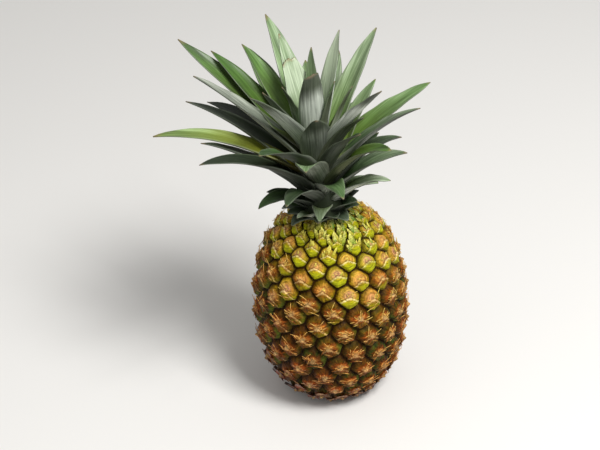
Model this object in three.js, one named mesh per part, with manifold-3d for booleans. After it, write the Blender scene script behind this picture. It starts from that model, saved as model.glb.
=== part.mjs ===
// A pineapple as picked: the fruit with its eyes, the leafy crown and the cut end of the stalk.
// Millimetres, +Z up. The origin is the centre of the flat spot that the fruit stands on.

import * as THREE from "three";
import { mergeVertices } from "three/addons/utils/BufferGeometryUtils.js";
import Module from "manifold-3d";

const wasm = await Module();
wasm.setup();

const gap = 0.3; // between pieces that touch
const degree = Math.PI / 180;

// The fruit's outline is two half superellipses that meet at its widest level.
const fruit = {
  radius: 62, // over the eyes
  widestAt: 79,
  top: 171, // where the outline would close above
  bottom: -9, // where it would close below the flat spot
  topSquareness: 2.4,
  bottomSquareness: 2.2,
};

// The eyes follow one another up a spiral, so that rows of 8, 13 and 21 run round the fruit.
const eyes = {
  turn: -137.508 * degree, // from each eye to the next
  rise: 0.016, // height from each eye to the next, as a share of the radius there
  evenness: 0.3, // 0 shrinks the eyes with the radius, 1 keeps their height
  groove: 3.6, // depth between eyes
  shoulder: 0.74, // the flat top of an eye, as a share of its width
  scar: 0.3, // the raised middle, as a share of its width
  scarLift: 0.6,
  bractShift: 3.2, // how far up, in eyes, the bract's tip stands from the middle
  bractLift: 3.4,
  leafyLift: 2.6, // what the bracts gain near the crown and near the stalk
};

const stalk = { radius: 13.2, depth: 9, sides: 28 };

// The crown stands on the fruit's top and leans a little to one side.
const crown = {
  seat: 161.5, // height of its foot
  lean: -6 * degree, // about +Y
  footRadius: 17,
  topRadius: 7,
  stemHeight: 79,
  firstLeaf: 7, // height of the lowest leaf above the foot
  lastLeaf: 74,
  leaves: 56,
  footLeaves: 11, // more small leaves at the height of the lowest
  phase: 150 * degree,
  sunk: 0.75, // where a leaf starts inside the stem, as a share of the stem's radius
  longSide: 165 * degree, // leaves grow longer on this side
  longGain: 0.16,
};

// Leaves from the lowest (age 0) to the innermost (age 1): length, width,
// lean from the crown's axis at the root, and how much more they lean by the tip.
const growth = [
  { age: 0.0, length: 24, width: 17, lean: 46, bend: 60 },
  { age: 0.1, length: 36, width: 20, lean: 44, bend: 56 },
  { age: 0.22, length: 58, width: 24, lean: 43, bend: 50 },
  { age: 0.36, length: 84, width: 27, lean: 42, bend: 36 },
  { age: 0.55, length: 106, width: 28, lean: 37, bend: 22 },
  { age: 0.72, length: 106, width: 28, lean: 28, bend: 15 },
  { age: 0.86, length: 94, width: 25, lean: 18, bend: 10 },
  { age: 1.0, length: 62, width: 15, lean: 6, bend: 6 },
];

// Leaves that grew unlike the rule, by their place in the spiral. Where a tip has broken off,
// `cut` is the share of the leaf that is left.
const oddLeaves = {
  12: { length: 62, lean: 48, bend: 42, angle: 328 },
  17: { length: 86 },
  18: { length: 112, lean: 38 },
  21: { length: 108 },
  23: { length: 126, angle: 222 },
  25: { length: 96, angle: 318 },
  26: { length: 122, lean: 35 },
  30: { length: 104, lean: 42 },
  31: { length: 136, width: 25, lean: 44, bend: 38, angle: 192 },
  33: { length: 90, lean: 35, angle: 303 },
  34: { length: 122, lean: 27 },
  35: { length: 104, lean: 55 },
  36: { length: 104, lean: 41 },
  37: { length: 124, angle: 104 },
  38: { length: 76 },
  39: { length: 124, lean: 32 },
  40: { length: 110, width: 27, lean: 39, bend: 12, angle: 45 },
  41: { length: 77, width: 32, lean: 27, bend: 12, angle: 280 },
  42: { length: 104 },
  43: { length: 70 },
  44: { length: 88 },
  45: { length: 72 },
  46: { length: 110, width: 30, lean: 38, bend: 10, angle: 318 },
  47: { length: 134, lean: 42, angle: 158 },
  48: { length: 98 },
  49: { length: 98, width: 32, lean: 28, angle: 230 },
  52: { length: 62 },
  53: { length: 78 },
  54: { length: 92, width: 28, lean: 12, bend: 8, angle: 287, cut: 0.84 },
  55: { length: 84, width: 30, lean: 10, angle: 122, cut: 0.82 },
};

const blade = {
  segments: 5,
  shortSegments: 4, // on leaves under shortLength
  shortLength: 45,
  rootThickness: 2.6,
  tipThickness: 0.9,
  edge: 0.45, // thickness at the edge, as a share of the middle's, and never under edgeLeast
  edgeLeast: 0.7,
  rootGutter: 58 * degree, // half the arc that a leaf is rolled to
  tipGutter: 26 * degree,
};

// ---- shared tools ----

// A repeatable number from -1 to 1 for leaf or eye `index`.
function wobble(index, salt) {
  const x = Math.sin(index * 12.9898 + salt * 78.233) * 43758.5453;
  return (x - Math.floor(x)) * 2 - 1;
}

function mix(a, b, share) {
  return a + (b - a) * share;
}

function solidFrom(geometry) {
  const bare = geometry.index ? geometry.toNonIndexed() : geometry.clone();
  bare.deleteAttribute("normal");
  bare.deleteAttribute("uv");
  const merged = mergeVertices(bare, 1e-4);
  return new wasm.Manifold(
    new wasm.Mesh({
      numProp: 3,
      vertProperties: merged.attributes.position.array,
      triVerts: new Uint32Array(merged.index.array),
    }),
  );
}

function geometryFrom(solid) {
  const mesh = solid.getMesh();
  const geometry = new THREE.BufferGeometry();
  geometry.setAttribute("position", new THREE.BufferAttribute(mesh.vertProperties, 3));
  geometry.setIndex(new THREE.BufferAttribute(mesh.triVerts, 1));
  geometry.computeVertexNormals();
  return geometry;
}

function geometryOf(points, faces) {
  const geometry = new THREE.BufferGeometry();
  geometry.setAttribute("position", new THREE.Float32BufferAttribute(points.flatMap((p) => p.toArray()), 3));
  geometry.setIndex(faces.flat());
  return geometry;
}

// An upright cylinder from height `low` to height `high`.
function column(radius, low, high, sides) {
  return new THREE.CylinderGeometry(radius, radius, high - low, sides)
    .rotateX(Math.PI / 2)
    .translate(0, 0, (low + high) / 2);
}

// Keeps the largest body, which fills sealed hollows and drops loose scraps.
function mainBody(solid) {
  return solid.decompose().reduce((best, body) => (body.volume() > best.volume() ? body : best));
}

// ---- the fruit ----

// The outline from bottom to top. `level` counts the eyes that fit below each point.
function outline() {
  const steps = 600;
  const rows = [];
  for (let i = 0; i <= steps; i++) {
    const tilt = mix(-88, 88, i / steps) * degree;
    const upper = tilt > 0;
    const power = 2 / (upper ? fruit.topSquareness : fruit.bottomSquareness);
    const reach = upper ? fruit.top - fruit.widestAt : fruit.bottom - fruit.widestAt;
    const r = fruit.radius * Math.cos(tilt) ** power;
    const z = fruit.widestAt + reach * Math.abs(Math.sin(tilt)) ** power;
    const last = rows[i - 1];
    const pitch = eyes.rise * mix(r, fruit.radius, eyes.evenness);
    const level = last ? last.level + Math.hypot(r - last.r, z - last.z) / pitch : 0;
    rows.push({ r, z, level });
  }
  return rows;
}

const profile = outline();

// The point of the surface at an eye level and an angle, lifted off it by `lift`.
function onFruit(level, angle, lift) {
  let high = profile.findIndex((row) => row.level >= level);
  high = Math.max(1, high < 0 ? profile.length - 1 : high);
  const a = profile[high - 1];
  const b = profile[high];
  const share = (level - a.level) / (b.level - a.level);
  const slope = Math.hypot(b.r - a.r, b.z - a.z);
  const outward = (b.z - a.z) / slope;
  const upward = (a.r - b.r) / slope;
  const r = mix(a.r, b.r, share) + outward * lift;
  return new THREE.Vector3(r * Math.cos(angle), r * Math.sin(angle), mix(a.z, b.z, share) + upward * lift);
}

function levelAt(height) {
  return profile.find((row) => row.z >= height).level;
}

// The six corners of an eye, as steps of level and angle from its middle.
function eyeCorners() {
  const step = (count) => {
    const angle = count * eyes.turn;
    return { level: count, angle: angle - Math.round(angle / (2 * Math.PI)) * 2 * Math.PI };
  };
  const third = (a, b) => ({ level: (a.level + b.level) / 3, angle: (a.angle + b.angle) / 3 });
  const [by8, by13, by21] = [8, 13, 21].map(step);
  const half = [
    third(by8, by21),
    third(by21, by13),
    third(by13, { level: -by8.level, angle: -by8.angle }),
  ];
  return [...half, ...half.map((c) => ({ level: -c.level, angle: -c.angle }))];
}

// How leafy the bracts are at a level: 1 at the crown and at the stalk, 0 between.
function leafiness(level, total) {
  const height = level / total;
  const nearTop = Math.max(0, (height - 0.8) / 0.2);
  const nearBase = Math.max(0, (0.22 - height) / 0.22);
  return Math.min(1, nearTop ** 1.5 + nearBase ** 1.5);
}

function fruitGeometry() {
  const corners = eyeCorners();
  const total = profile[profile.length - 1].level;
  const margin = 12; // the poles' last levels, where the eyes would be slivers
  const first = margin;
  const last = Math.floor(total) - margin;
  const points = [];
  const faces = [];
  const shared = new Map();

  function put(level, angle, lift) {
    points.push(onFruit(level, angle, lift));
    return points.length - 1;
  }
  // Neighbouring eyes meet at the same corner: its place is known by the sum of the three eyes.
  function corner(index, k) {
    const spot = [
      [8, 21],
      [21, 13],
      [13, -8],
      [-8, -21],
      [-21, -13],
      [-13, 8],
    ][k];
    const key = [index, index + spot[0], index + spot[1]].sort((a, b) => a - b).join();
    if (!shared.has(key)) {
      const c = corners[k];
      shared.set(key, put(index + c.level, index * eyes.turn + c.angle, -eyes.groove));
    }
    return shared.get(key);
  }
  function ring(index, scale, shift, lift) {
    return corners.map((c) => put(index + shift + c.level * scale, index * eyes.turn + c.angle * scale, lift));
  }
  function band(outer, inner) {
    outer.forEach((o, k) => {
      const next = (k + 1) % 6;
      faces.push([o, inner[next], outer[next]], [o, inner[k], inner[next]]);
    });
  }

  for (let index = first; index <= last; index++) {
    const leafy = leafiness(index, total);
    const size = onFruit(index, 0, 0).x / fruit.radius;
    const rim = corners.map((_, k) => corner(index, k));
    const shoulder = ring(index, eyes.shoulder, 0, 0);
    const scar = ring(index, eyes.scar, 0, eyes.scarLift);
    const lift = (eyes.bractLift + leafy * eyes.leafyLift) * mix(size, 1, 0.2);
    const tip = put(index + eyes.bractShift, index * eyes.turn, lift * (1 + 0.25 * wobble(index, 9)));
    band(rim, shoulder);
    band(shoulder, scar);
    scar.forEach((s, k) => faces.push([s, tip, scar[(k + 1) % 6]]));
  }

  // Close both open ends: every edge with no neighbour gets a face to its pole.
  const edges = new Set(faces.flatMap(([a, b, c]) => [`${a},${b}`, `${b},${c}`, `${c},${a}`]));
  const poles = [put(0, 0, 0), put(total, 0, 0)];
  poles.forEach((pole) => points[pole].set(0, 0, points[pole].z));
  for (const edge of edges) {
    const [a, b] = edge.split(",").map(Number);
    if (!edges.has(`${b},${a}`)) faces.push([b, a, points[a].z < fruit.widestAt ? poles[0] : poles[1]]);
  }
  return geometryOf(points, faces);
}

function fruitMesh() {
  const below = new THREE.BoxGeometry(200, 200, 40).translate(0, 0, -20);
  const stalkHole = column(stalk.radius + gap, -1, stalk.depth + gap, stalk.sides);
  const seat = column(crown.footRadius + gap, -gap, 60, 36).applyMatrix4(crownFrame());
  const solid = [below, stalkHole, seat].reduce(
    (rest, cutter) => rest.subtract(solidFrom(cutter)),
    solidFrom(fruitGeometry()),
  );
  return named("fruit", geometryFrom(mainBody(solid)), { color: "#c9962e", roughness: 0.62 });
}

// ---- the crown ----

function crownFrame() {
  return new THREE.Matrix4().makeRotationY(crown.lean).setPosition(0, 0, crown.seat);
}

function grown(age, key) {
  const next = Math.max(1, growth.findIndex((row) => row.age >= age));
  const [a, b] = [growth[next - 1], growth[next]];
  return mix(a[key], b[key], (age - a.age) / (b.age - a.age));
}

function stemRadius(height) {
  return mix(crown.footRadius, crown.topRadius, Math.max(0, height) / crown.stemHeight);
}

function leafAt(index) {
  const age = Math.max(0, index / (crown.leaves - 1));
  const angle = crown.phase + index * eyes.turn + 5 * degree * wobble(index, 1);
  const gain = 1 + crown.longGain * Math.cos(angle - crown.longSide);
  const odd = oddLeaves[index] ?? {};
  return {
    angle: odd.angle ? odd.angle * degree : angle,
    height: mix(crown.firstLeaf, crown.lastLeaf, age),
    length: odd.length ?? grown(age, "length") * (1 + 0.08 * wobble(index, 2)) * gain,
    width: odd.width ?? grown(age, "width") * (1 + 0.08 * wobble(index, 3)),
    lean: (odd.lean ?? grown(age, "lean") + 4 * wobble(index, 4)) * degree,
    bend: (odd.bend ?? grown(age, "bend") * (1 + 0.5 * wobble(index, 5))) * degree,
    curl: mix(2.4, 1.4, age), // how late along the leaf the bend comes
    sway: 10 * degree * wobble(index, 6),
    twist: 14 * degree * wobble(index, 7),
    cut: odd.cut ?? 1,
  };
}

// A leaf's width from root to tip, as a share of its widest.
function taper(s) {
  return 0.95 * (1 - s) ** 0.8 * (1 + 1.15 * s) * (1 - 0.5 * (1 - s) ** 6);
}

// The directions along, across and inward at share `s` of a leaf, which leans further out along its length.
function leafAxes(leaf, s) {
  const lean = leaf.lean + leaf.bend * s ** leaf.curl;
  const yaw = leaf.angle + leaf.sway * s ** 1.5;
  const out = new THREE.Vector3(Math.cos(yaw), Math.sin(yaw), 0);
  const along = out.multiplyScalar(Math.sin(lean)).setZ(Math.cos(lean));
  const side = new THREE.Vector3(-Math.sin(yaw), Math.cos(yaw), 0).applyAxisAngle(along, leaf.twist * s);
  return { along, side, inward: along.clone().cross(side) };
}

// A leaf is rolled like a gutter, open towards the crown's axis.
function leafGeometry(leaf) {
  const points = [];
  const faces = [];
  const start = stemRadius(leaf.height) * crown.sunk;
  const spot = new THREE.Vector3(start * Math.cos(leaf.angle), start * Math.sin(leaf.angle), leaf.height);
  const segments = leaf.length < blade.shortLength ? blade.shortSegments : blade.segments;
  const step = (leaf.length * leaf.cut) / segments;
  const across = [-1, 0, 1, 1, 0, -1]; // the inner face, then the outer face
  for (let i = 0; i <= segments; i++) {
    const s = (leaf.cut * i) / segments;
    const { side, inward } = leafAxes(leaf, s);
    const half = Math.max(0.7, (leaf.width / 2) * taper(s));
    const gutter = mix(blade.rootGutter, blade.tipGutter, s);
    const middle = mix(blade.rootThickness, blade.tipThickness, s);
    across.forEach((u, k) => {
      const thick = u ? Math.max(blade.edgeLeast, middle * blade.edge) : middle;
      const face = k < 3 ? thick / 2 : -thick / 2;
      points.push(
        spot
          .clone()
          .addScaledVector(side, (half * u * Math.sin(gutter)) / gutter)
          .addScaledVector(inward, (Math.abs(u) * half * (1 - Math.cos(gutter))) / gutter + face),
      );
    });
    spot.addScaledVector(leafAxes(leaf, s + leaf.cut / segments / 2).along, step);
  }
  // Both faces are split along the same diagonals, so that a thin leaf never crosses itself.
  const cells = [
    [0, 1],
    [1, 2],
    [2, 3],
    [4, 3],
    [5, 4],
    [5, 0],
  ];
  for (let i = 0; i < segments; i++) {
    cells.forEach(([a, b], k) => {
      const [p, q] = [i * 6, i * 6 + 6];
      const turned = k !== 3 && k !== 4;
      const pair = [
        [p + a, p + b, q + b],
        [p + a, q + b, q + a],
      ];
      faces.push(...pair.map(([x, y, z]) => (turned ? [x, z, y] : [x, y, z])));
    });
  }
  const end = segments * 6;
  const caps = [
    [0, 5, 4],
    [0, 4, 1],
    [1, 4, 3],
    [1, 3, 2],
  ];
  faces.push(...caps.map(([a, b, c]) => [a, c, b]), ...caps.map(([a, b, c]) => [end + a, end + b, end + c]));
  return geometryOf(points, faces);
}

function crownMesh() {
  const stem = new THREE.LatheGeometry(
    [
      [0, 0],
      [crown.footRadius, 0],
      [crown.footRadius, crown.firstLeaf],
      [crown.topRadius, crown.stemHeight],
      [0, crown.stemHeight],
    ].map(([r, z]) => new THREE.Vector2(r, z)),
    20,
  ).rotateX(Math.PI / 2);
  let solid = solidFrom(stem);
  for (let index = -crown.footLeaves; index < crown.leaves; index++) {
    solid = solid.add(solidFrom(leafGeometry(leafAt(index))));
  }
  const mesh = named("crown", geometryFrom(mainBody(solid)), { color: "#5d7148", roughness: 0.55 });
  const group = new THREE.Group();
  group.applyMatrix4(crownFrame());
  group.add(mesh);
  return group;
}

// ---- the stalk ----

function stalkMesh() {
  return named("stalk_stub", column(stalk.radius, 0, stalk.depth, stalk.sides), {
    color: "#a58a5a",
    roughness: 0.85,
  });
}

function named(name, geometry, finish) {
  const mesh = new THREE.Mesh(geometry, new THREE.MeshStandardMaterial({ metalness: 0, ...finish }));
  mesh.name = name;
  return mesh;
}

const pineapple = new THREE.Group();
pineapple.add(fruitMesh(), crownMesh(), stalkMesh());

export default pineapple;
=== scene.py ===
import math

import bmesh
import bpy
import numpy as np
from mathutils import Matrix, Quaternion, Vector, noise


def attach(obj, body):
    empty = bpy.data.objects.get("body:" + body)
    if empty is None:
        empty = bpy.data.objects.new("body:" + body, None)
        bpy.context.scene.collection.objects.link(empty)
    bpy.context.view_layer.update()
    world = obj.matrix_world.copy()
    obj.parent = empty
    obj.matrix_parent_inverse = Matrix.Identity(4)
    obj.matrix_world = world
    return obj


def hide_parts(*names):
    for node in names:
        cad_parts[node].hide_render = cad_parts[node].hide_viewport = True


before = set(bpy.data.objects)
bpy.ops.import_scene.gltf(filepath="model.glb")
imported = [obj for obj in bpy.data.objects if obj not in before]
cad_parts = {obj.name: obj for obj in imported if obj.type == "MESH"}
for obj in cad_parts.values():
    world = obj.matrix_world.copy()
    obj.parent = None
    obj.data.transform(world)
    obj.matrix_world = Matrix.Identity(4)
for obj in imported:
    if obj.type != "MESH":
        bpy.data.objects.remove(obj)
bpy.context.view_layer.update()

mm = 0.001
wholeTurn = 2 * math.pi


def hexColour(code):
    # an sRGB hex value as the linear colour that shaders want
    channels = [int(code[i:i + 2], 16) / 255 for i in (1, 3, 5)]
    linear = [c / 12.92 if c <= 0.04045 else ((c + 0.055) / 1.055) ** 2.4 for c in channels]
    return (*linear, 1)


def addNode(tree, kind, inputs=(), **settings):
    # inputs: a list in the sockets' order, or a dictionary by socket name or number; each is a fixed
    # value, another node's output, or another node, which gives its first live output
    node = tree.nodes.new("ShaderNode" + kind)
    for key, value in settings.items():
        setattr(node, key, value)
    for key, value in inputs.items() if isinstance(inputs, dict) else enumerate(inputs):
        if isinstance(value, bpy.types.Node):
            value = next(output for output in value.outputs if output.enabled)
        if isinstance(value, bpy.types.NodeSocket):
            tree.links.new(value, node.inputs[key])
        else:
            node.inputs[key].default_value = value
    return node


def newMaterial(name):
    material = bpy.data.materials.new(name)
    material.use_nodes = True
    material.node_tree.nodes.clear()
    return material, material.node_tree


def setRamp(node, stops):
    ramp = node.color_ramp
    while len(ramp.elements) < len(stops):
        ramp.elements.new(1)
    for element, (place, colour) in zip(ramp.elements, stops):
        element.position = place
        element.color = hexColour(colour)
    return node


def paintOver(tree, colour, layers):
    # lays each layer's colour over what is there, by the product of the shares that come before it;
    # sockets 0, 6 and 7 of a colour Mix are its factor and its two colours
    for share, *others, over in layers:
        for other in others:
            share = addNode(tree, "Math", [share, other], operation="MULTIPLY")
        colour = addNode(tree, "Mix", {0: share, 6: colour, 7: over}, data_type="RGBA")
    return colour


def spinProfile(path, steps, cuts=0):
    # a closed skin from (radius, height) points turned round the upright axis
    bm = bmesh.new()
    verts = [bm.verts.new((r, 0, z)) for r, z in path]
    edges = [bm.edges.new(pair) for pair in zip(verts, verts[1:])]
    if cuts:
        bmesh.ops.subdivide_edges(bm, edges=edges, cuts=cuts)
    bmesh.ops.spin(bm, geom=bm.verts[:] + bm.edges[:], cent=(0, 0, 0), axis=(0, 0, 1), dvec=(0, 0, 0),
                   angle=wholeTurn, steps=steps, use_merge=True)
    bmesh.ops.remove_doubles(bm, verts=bm.verts, dist=1e-4)
    bmesh.ops.recalc_face_normals(bm, faces=bm.faces)
    return bm


def finishPiece(bm, name, materials, node=None):
    # turns a bmesh in millimetres into a piece that rides on the fruit
    bmesh.ops.scale(bm, vec=(mm, mm, mm), verts=bm.verts)
    mesh = bpy.data.meshes.new(name)
    bm.to_mesh(mesh)
    bm.free()
    for material in materials:
        mesh.materials.append(material)
    mesh.shade_smooth()
    piece = bpy.data.objects.new(name, mesh)
    bpy.context.scene.collection.objects.link(piece)
    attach(piece, "root")
    if node:
        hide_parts(node)
    return piece


def mix(a, b, share):
    return a + (b - a) * share


def smoothStep(low, high, x):
    t = np.clip((x - low) / (high - low), 0, 1)
    return t * t * (3 - 2 * t)


def wobble(index, salt):
    # a repeatable number from -1 to 1 for eye or leaf `index`
    x = np.sin(index * 12.9898 + salt * 78.233) * 43758.5453
    return (x - np.floor(x)) * 2 - 1


# the fruit's outline and its spiral of eyes
fruitShape = {
    "radius": 62, "widestAt": 79, "top": 171, "bottom": -9,
    "topSquareness": 2.4, "bottomSquareness": 2.2,
    "points": 601,  # along the outline
}

eyeRule = {
    "turn": math.radians(-137.508),  # from each eye to the next
    "rise": 0.016,  # height from each eye to the next, as a share of the radius
    "evenness": 0.3,  # at 0 an eye's height shrinks with the radius, at 1 it stays the same
    "firstLevel": 12,  # the lowest eye; the highest is as far from the top
    "search": 24,  # how many eyes before and after a point's level may be its nearest
    "neighbours": (5, 8, 13, 21, 34),  # eyes that touch are this many apart
    "upperCorners": 1.6, "lowerCorners": 2.6,  # the upper corners are rounder
}


def fruitOutline():
    tilt = np.radians(np.linspace(-88, 88, fruitShape["points"]))
    upper = tilt > 0
    power = 2 / np.where(upper, fruitShape["topSquareness"], fruitShape["bottomSquareness"])
    reach = np.where(upper, fruitShape["top"], fruitShape["bottom"]) - fruitShape["widestAt"]
    r = fruitShape["radius"] * np.cos(tilt) ** power
    z = fruitShape["widestAt"] + reach * np.abs(np.sin(tilt)) ** power
    pitch = eyeRule["rise"] * mix(r, fruitShape["radius"], eyeRule["evenness"])
    steps = np.hypot(np.diff(r), np.diff(z))
    level = np.concatenate([[0], np.cumsum(steps / pitch[1:])])
    arc = np.concatenate([[0], np.cumsum(steps)])
    return {"r": r, "z": z, "level": level, "arc": arc, "pitch": pitch}


profile = fruitOutline()
topLevel = profile["level"][-1]
lastEye = int(topLevel) - eyeRule["firstLevel"]


def atLevel(level, key):
    return np.interp(level, profile["level"], profile[key])


# the side where the eyes are plump lower down, and the side with the greenest scales
freshSide = {"angle": math.radians(-70), "lead": 0.11, "greenest": math.radians(-10)}


def freshness(level, angle):
    # 0 at the very bottom to 1 at the top, less away from the fresh side
    return level / topLevel - freshSide["lead"] * np.minimum(1 - np.cos(angle - freshSide["angle"]), 1)


def wrapAngle(angle):
    return angle - np.round(angle / wholeTurn) * wholeTurn


def eyeSize(level):
    # width of an eye against one at the fruit's widest
    r = np.maximum(atLevel(level, "r"), 1)
    widest = fruitShape["radius"]
    return np.sqrt(r * atLevel(level, "pitch") / (widest * widest * eyeRule["rise"]))


def eyeField(level, angle):
    # the nearest eye of each point, the point's place on it (right, up) and how far it is from the
    # eye's border, all in mm at the size of the largest eyes
    r = atLevel(level, "r")
    pitch = atLevel(level, "pitch")
    size = eyeSize(level)
    best = np.full(level.shape, np.inf)
    eye, right, up, total = np.zeros((4, *level.shape))
    for step in range(-eyeRule["search"], eyeRule["search"] + 1):
        index = np.clip(np.round(level) + step, eyeRule["firstLevel"], lastEye)
        x = wrapAngle(angle - index * eyeRule["turn"]) * r
        y = (level - index) * pitch
        nearer = x * x + y * y < best
        best, eye, right, up = [
            np.where(nearer, new, old)
            for new, old in ((x * x + y * y, best), (index, eye), (x, right), (y, up))
        ]
    for sign, corners in ((1, eyeRule["upperCorners"]), (-1, eyeRule["lowerCorners"])):
        for step in eyeRule["neighbours"]:
            x = wrapAngle(np.array(sign * step * eyeRule["turn"])) * r
            y = sign * step * pitch
            apart = np.hypot(x, y)
            border = (apart * apart / 2 - right * x - up * y) / apart / size
            total += np.exp(-border * corners)
    return eye, right / size, up / size, np.maximum(-np.log(total) / 2, 0), size


skinShape = {
    "stepsRound": 400, "rowsUp": 208, "footRings": 8,
    "socketRadius": 13.5, "socketTop": 9.3,  # where the stalk stands
    "seatRadius": 17.3, "seatFloor": 161.3,  # where the crown stands
    # heights between which the eyes turn from dry to plump, and how much sooner or later one may be
    "plumpFrom": 0.57, "plumpTo": 0.7, "unevenness": 0.05,
    "offRight": 0.7, "offUp": 0.9,  # how far the withered flower may be off the eye's middle
    "groove": 3.2, "wall": 3.2, "bumps": 0.35,
    # each pair is for a dry eye and for a plump one
    "dome": 1.1, "domeShare": (0.6, 1.7), "domeArea": 110,
    "knob": 2.0, "knobReach": 9,
    "bract": 1.0, "bractTop": (1.6, 0.4), "bractSlope": (0.78, 0.42),
    "lip": 0.35, "lipWidth": 0.9, "keel": 0.5, "keelWidth": 1.3,
    "tip": 1.0, "tipUp": 0.5,
    "pit": 1.2, "pitUp": 3.4,
    "middleUp": 1.4, "crease": (0.6, 0.3), "creases": (0.75, 1.57, 2.4), "creaseWidth": 0.55,
    "fold": (0.32, 0.03), "folds": 23, "ring": 0.24,
}


def skinRelief(level, angle):
    eye, u, v, border, size = eyeField(level, angle)
    s = skinShape
    ripeness = freshness(eye, eye * eyeRule["turn"]) + s["unevenness"] * wobble(eye, 6)
    plump = smoothStep(s["plumpFrom"], s["plumpTo"], ripeness)
    u = u + s["offRight"] * wobble(eye, 1)
    v = v + s["offUp"] * wobble(eye, 2)
    wall = smoothStep(0, s["wall"], border)
    lift = -s["groove"] * (1 - wall)
    lift += mix(*s["domeShare"], plump) * s["dome"] * (1 - np.clip((u * u + v * v) / s["domeArea"], 0, 1.2))
    # dry eyes fall away from a broad knob in the middle
    lift += (1 - plump) * s["knob"] * (np.clip(1 - np.hypot(u * 0.85, v * 1.3) / s["knobReach"], 0, 1) - 0.35)
    # the bract: a wedge that rises from the eye's foot to a tip over its middle
    inside = mix(*s["bractTop"], plump) - v - mix(*s["bractSlope"], plump) * np.abs(u) ** 1.08
    inside -= 0.2 * wobble(eye, 7) * u + 0.25 * np.sin(u * 1.9 + eye)
    bract = smoothStep(-0.3, 0.5, inside) * wall
    margin = s["lip"] * np.exp(-(inside / s["lipWidth"]) ** 2)
    keel = s["keel"] * np.exp(-(u / s["keelWidth"]) ** 2)
    lift += bract * (s["bract"] + margin + keel)
    tip = np.exp(-(u * u / 3.2 + (v - s["tipUp"]) ** 2 / 4.5))
    lift += s["tip"] * tip * (1 + 0.35 * wobble(eye, 3))
    # above it the withered flower: a small pit, with creases between its sepals
    lift -= s["pit"] * np.exp(-(u / 2.3) ** 2 - ((v - s["pitUp"]) / 1.5) ** 2)
    spoke = np.arctan2(v - s["middleUp"], u)
    reach = np.hypot(u, v - s["middleUp"])
    for direction in s["creases"]:
        off = np.sin(spoke - direction - 0.2 * wobble(eye, direction)) * reach
        crease = mix(*s["crease"], plump) * np.exp(-(off / s["creaseWidth"]) ** 2)
        lift -= crease * (1 - bract) * smoothStep(1.5, 3, reach) * wall
    fold = np.sin(spoke * s["folds"] + 5 * wobble(eye, 4) + 1.5 * np.sin(reach * 1.1))
    lift += mix(*s["fold"], plump) * fold * smoothStep(1.2, 4, reach) * wall
    ring = np.sin(reach * 2.1 + 1.6 * np.sin(spoke * 2 + eye))
    lift += s["ring"] * plump * ring * (1 - bract) * smoothStep(1.2, 3, reach) * wall
    return lift * size ** 0.8, eye, u, v, border, np.clip(inside, -6, 6)


def buildSkin(material):
    s = skinShape
    upper = fruitShape["points"] // 2
    start = np.interp(0, profile["z"], profile["arc"])
    upTo = np.interp(-s["seatRadius"], -profile["r"][upper:], profile["arc"][upper:])
    arcs = np.linspace(start, upTo, s["rowsUp"])
    side = [[np.interp(a, profile["arc"], profile[key]) for key in ("r", "z")] for a in arcs]
    foot = [(r, 0) for r in np.linspace(s["socketRadius"], side[0][0], s["footRings"])[:-1]]
    socket = [(0, s["socketTop"]), (s["socketRadius"], s["socketTop"])]
    seat = [(s["seatRadius"], s["seatFloor"]), (0, s["seatFloor"])]
    bm = spinProfile(socket + foot + side + seat, s["stepsRound"])

    place = np.array([v.co for v in bm.verts])
    x, y, z = place.T
    r, angle = np.hypot(x, y), np.arctan2(y, x)
    level = np.interp(z, profile["z"], profile["level"])
    lift, eye, u, v, border, inside = skinRelief(level, angle)
    # the socket, the flat underside and the seat stay plain
    onSide = (z > 0.01) & ((z < 100) | (r > s["seatRadius"] + 0.05)) & (r > s["socketRadius"] + 0.05)
    lift = np.where(onSide, lift, 0) * smoothStep(0, 3, z)
    ragged = np.array([noise.noise(Vector(p) * 0.35) for p in place])
    lift += np.where(onSide, s["bumps"] * ragged, 0)
    outward = lift * np.interp(level, profile["level"], np.gradient(profile["z"], profile["arc"]))
    upward = lift * -np.interp(level, profile["level"], np.gradient(profile["r"], profile["arc"]))
    z = np.where(onSide, np.maximum(z + upward, 0), z)
    moved = np.stack([x + outward * np.cos(angle), y + outward * np.sin(angle), z], 1)
    for vert, co in zip(bm.verts, moved):
        vert.co = co
    piece = finishPiece(bm, "fruit_skin", [material], "fruit")
    # what the colours follow; the flat underside has no eyes, only plain dry rind
    u, v, border, inside, level, eye = [
        np.where(onSide, value, plain)
        for value, plain in ((u, 0), (v, -8), (border, 6), (inside, -6), (level, 0), (eye, 0))
    ]
    spots = {
        "eyeSpot": (u, v, border),
        "eyeMood": (freshness(level, angle), wobble(eye, 5) / 2 + 0.5, inside),
    }
    for name, values in spots.items():
        attribute = piece.data.attributes.new(name, "FLOAT_VECTOR", "POINT")
        attribute.data.foreach_set("vector", np.stack(values, 1).astype(np.float32).ravel())


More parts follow.
